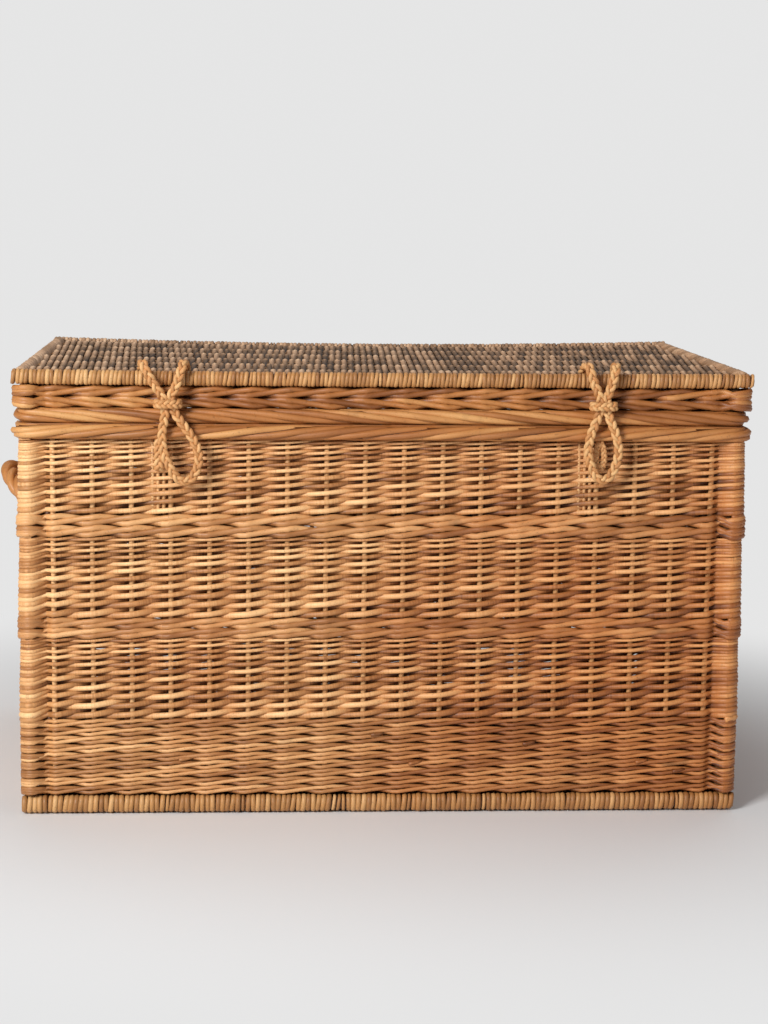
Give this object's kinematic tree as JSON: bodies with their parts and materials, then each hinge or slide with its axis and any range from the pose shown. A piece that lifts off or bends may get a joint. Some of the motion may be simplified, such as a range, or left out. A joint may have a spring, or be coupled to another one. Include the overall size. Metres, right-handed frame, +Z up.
{
  "type": "wicker laundry trunk",
  "caption": "Rectangular wicker laundry trunk in square-work willow, with a hinged rimmed lid, plaited hasps and staples at the front and roped bow handles on the ends.",
  "frame": {"origin": "middle of the trunk in plan, on the floor that it stands on", "axes": "+X along the length to the right end as seen from the front, +Y from the hasps to the hinge, +Z up"},
  "size_m": [0.991, 0.6225, 0.5626],
  "materials": {
    "golden_willow": "peeled buff willow, satin with age",
    "weathered_willow": "sun-greyed willow, matt",
    "inner_willow": "peeled willow, matt",
    "willow_sticks": "peeled willow, matt",
    "roped_willow": "twisted willow, satin",
    "plaited_cord": "plaited rush, matt"
  },
  "bodies": {
    "trunk": {"base_edge_front": "golden_willow", "base_edge_left": "golden_willow", "base_edge_rear": "golden_willow", "base_edge_right": "golden_willow", "base_floor_weave": "inner_willow", "base_sticks": "willow_sticks", "base_under_weave": "inner_willow", "border_front": "golden_willow", "border_left": "golden_willow", "border_rear": "golden_willow", "border_right": "golden_willow", "corner_post_front_left": "willow_sticks", "corner_post_front_right": "willow_sticks", "corner_post_rear_left": "willow_sticks", "corner_post_rear_right": "willow_sticks", "front_inner_weave": "inner_willow", "front_stakes": "willow_sticks", "handle_left": "roped_willow", "handle_right": "roped_willow", "hinge_loops": "roped_willow", "left_inner_weave": "inner_willow", "left_stakes": "willow_sticks", "lower_rand": "golden_willow", "lower_wale": "golden_willow", "middle_rand": "golden_willow", "rear_inner_weave": "inner_willow", "rear_stakes": "willow_sticks", "right_inner_weave": "inner_willow", "right_stakes": "willow_sticks", "staple_left": "plaited_cord", "staple_liner_stakes": "willow_sticks", "staple_right": "plaited_cord", "upper_rand": "golden_willow", "upper_wale": "golden_willow", "upsett_wale": "golden_willow"},
    "lid": {"lid_border_front": "golden_willow", "lid_border_left": "golden_willow", "lid_border_right": "golden_willow", "lid_corner_posts": "willow_sticks", "lid_edge_front": "golden_willow", "lid_edge_left": "weathered_willow", "lid_edge_rear": "weathered_willow", "lid_edge_right": "weathered_willow", "lid_hinge_rod": "golden_willow", "lid_rim_inner_front": "inner_willow", "lid_rim_inner_left": "inner_willow", "lid_rim_inner_rear": "inner_willow", "lid_rim_inner_right": "inner_willow", "lid_rim_stakes": "willow_sticks", "lid_rim_wale": "golden_willow", "lid_sticks": "willow_sticks", "lid_top_weave": "weathered_willow", "lid_under_weave": "inner_willow", "hasp_left_tucked_ends": "plaited_cord", "hasp_right_tucked_ends": "plaited_cord"},
    "hasp_left": {"hasp_left_cord": "plaited_cord", "hasp_left_knot": "plaited_cord"},
    "hasp_right": {"hasp_right_cord": "plaited_cord", "hasp_right_knot": "plaited_cord"}
  },
  "joints": [
    {"name": "lid_hinge", "type": "hinge", "parent": "trunk", "child": "lid", "pos_m": [0, 0.28995, 0.49575], "axis": [-1, 0, 0], "range_deg": [0, 105]},
    {"name": "hasp_left_swing", "type": "hinge", "parent": "lid", "child": "hasp_left", "pos_m": [-0.263, -0.283, 0.55835], "axis": [-1, 0, 0], "range_deg": [0, 120]},
    {"name": "hasp_right_swing", "type": "hinge", "parent": "lid", "child": "hasp_right", "pos_m": [0.263, -0.283, 0.55835], "axis": [-1, 0, 0], "range_deg": [0, 120]}
  ]
}
